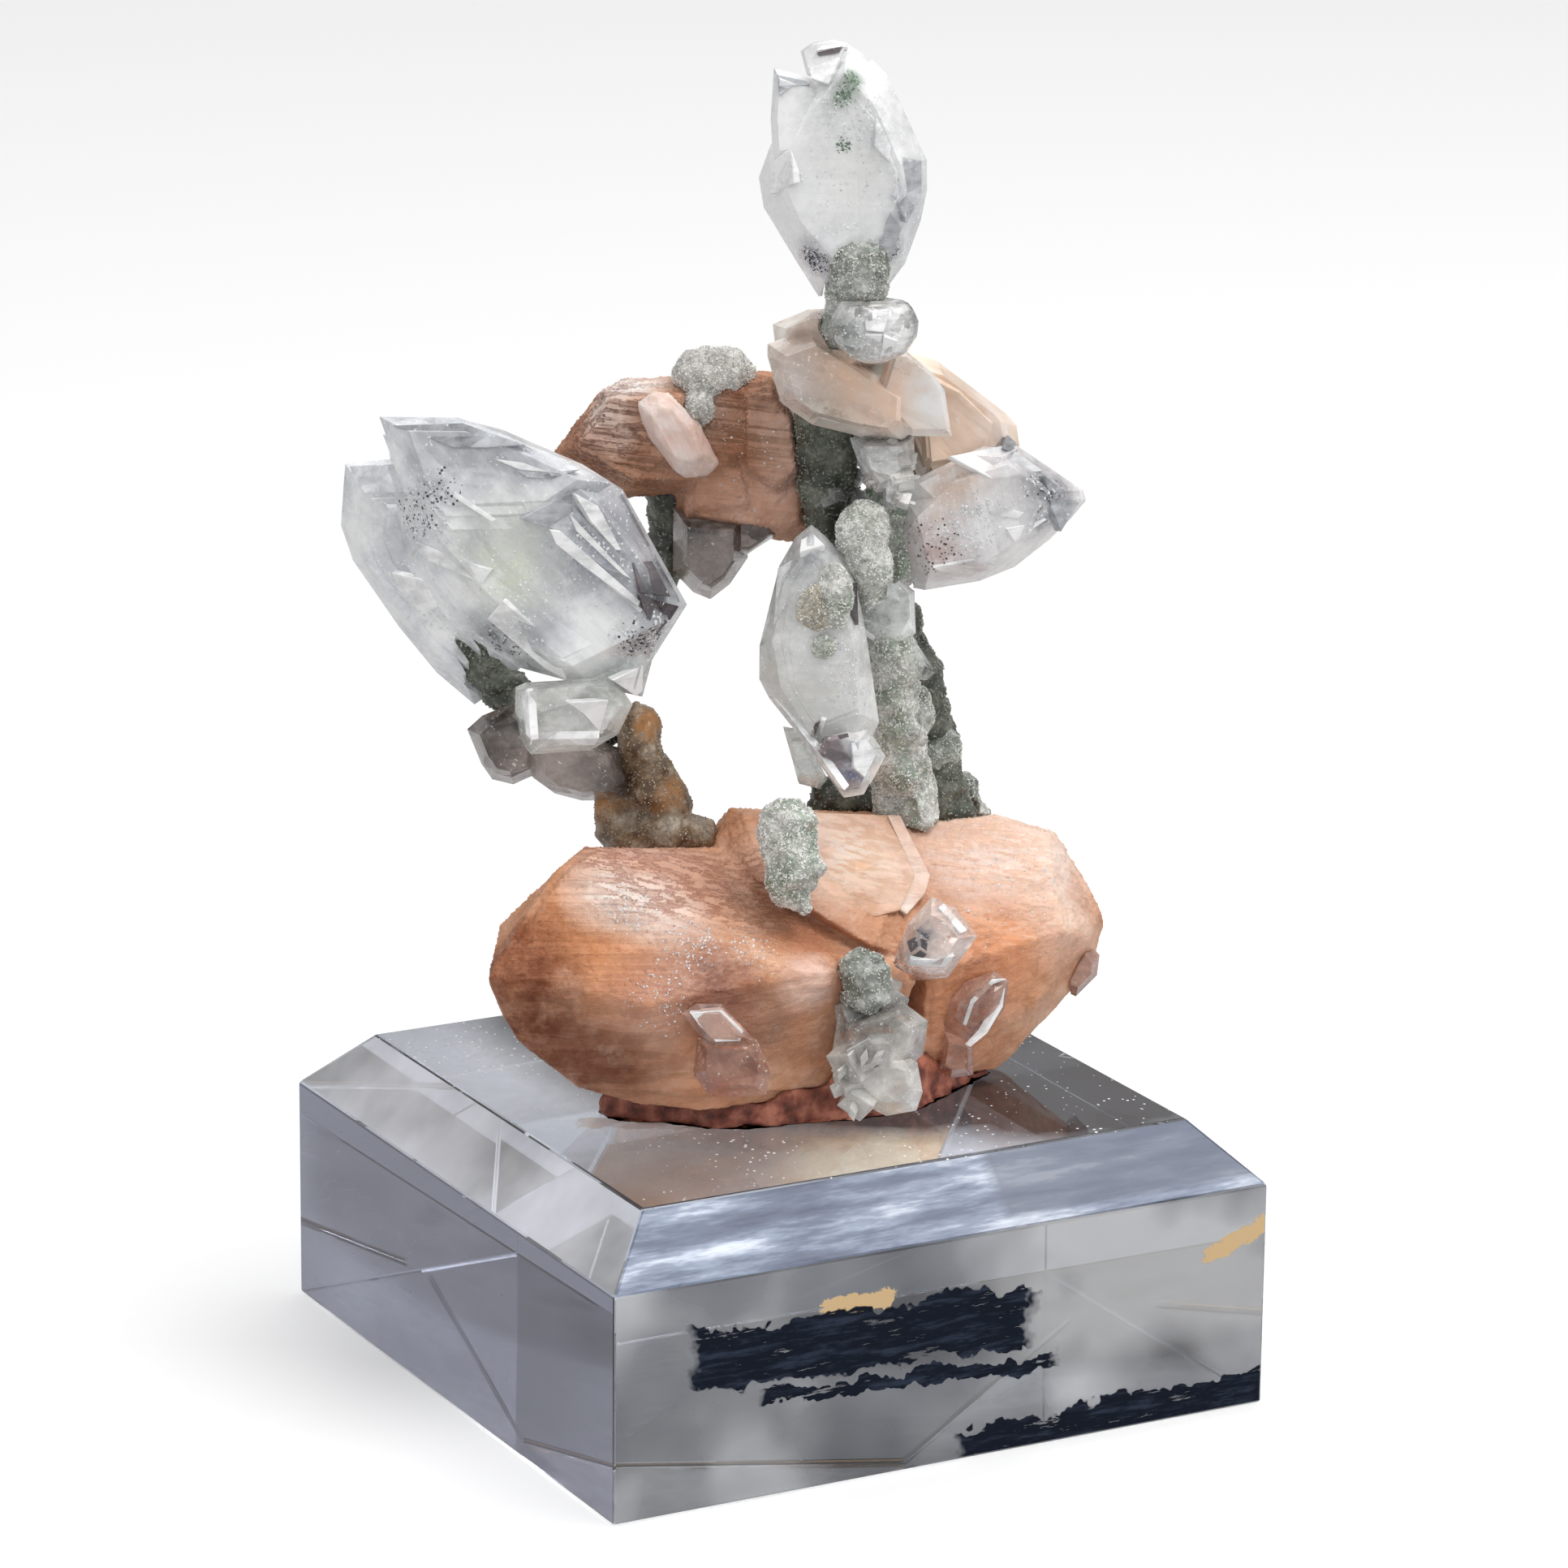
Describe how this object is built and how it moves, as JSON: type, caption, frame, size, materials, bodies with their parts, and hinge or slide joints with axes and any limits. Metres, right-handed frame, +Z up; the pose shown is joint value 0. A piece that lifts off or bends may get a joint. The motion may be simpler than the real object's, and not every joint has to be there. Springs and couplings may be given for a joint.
{
  "type": "stilbite cluster",
  "caption": "Natural cluster of stilbite sheaves, clear apophyllite crystals and chalcedony stalactites, set with putty on a square bevelled clear block.",
  "frame": {"origin": "middle of the block's underside, which is the bottom centre of the bounding box", "axes": "+Z up; the block's sides are parallel to X and Y; the specimen faces a viewer who stands off the block's corner at -X and -Y, and its length runs along X"},
  "size_m": [0.0762, 0.0762, 0.1414],
  "materials": {
    "acrylic": "polished, clear",
    "paper": "matte",
    "putty": "matte",
    "stilbite": "pearly, slightly see-through",
    "pale_stilbite": "pearly, slightly see-through",
    "apophyllite": "natural crystal faces",
    "grey_apophyllite": "natural crystal faces",
    "chalcedony": "sugary",
    "dark_chalcedony": "sugary",
    "brown_chalcedony": "sugary"
  },
  "bodies": {
    "root": {"acrylic_block": "acrylic", "paper_label": "paper", "mounting_putty": "putty", "lower_stilbite": "stilbite", "upper_left_stilbite": "stilbite", "right_stilbite": "stilbite", "small_pink_stilbite": "pale_stilbite", "centre_stilbite": "pale_stilbite", "top_apophyllite": "apophyllite", "ball_apophyllite": "apophyllite", "left_apophyllite": "apophyllite", "left_gem_apophyllite": "apophyllite", "middle_apophyllite": "apophyllite", "middle_small_apophyllite": "apophyllite", "column_apophyllite": "apophyllite", "column_flake": "apophyllite", "right_apophyllite": "apophyllite", "low_left_apophyllite": "apophyllite", "low_middle_apophyllite": "apophyllite", "low_right_apophyllite": "apophyllite", "edge_apophyllite": "apophyllite", "front_apophyllites": "apophyllite", "stem_crystals": "apophyllite", "left_grey_apophyllites": "grey_apophyllite", "hanging_apophyllites": "grey_apophyllite", "column_stem": "chalcedony", "right_stem": "chalcedony", "neck_druse": "chalcedony", "druse_ball": "chalcedony", "front_finger": "chalcedony", "dark_finger": "chalcedony", "back_stem": "dark_chalcedony", "rear_root": "dark_chalcedony", "dark_root": "dark_chalcedony", "left_branch": "dark_chalcedony", "back_left_stem": "dark_chalcedony", "brown_stem": "brown_chalcedony"}
  },
  "joints": []
}
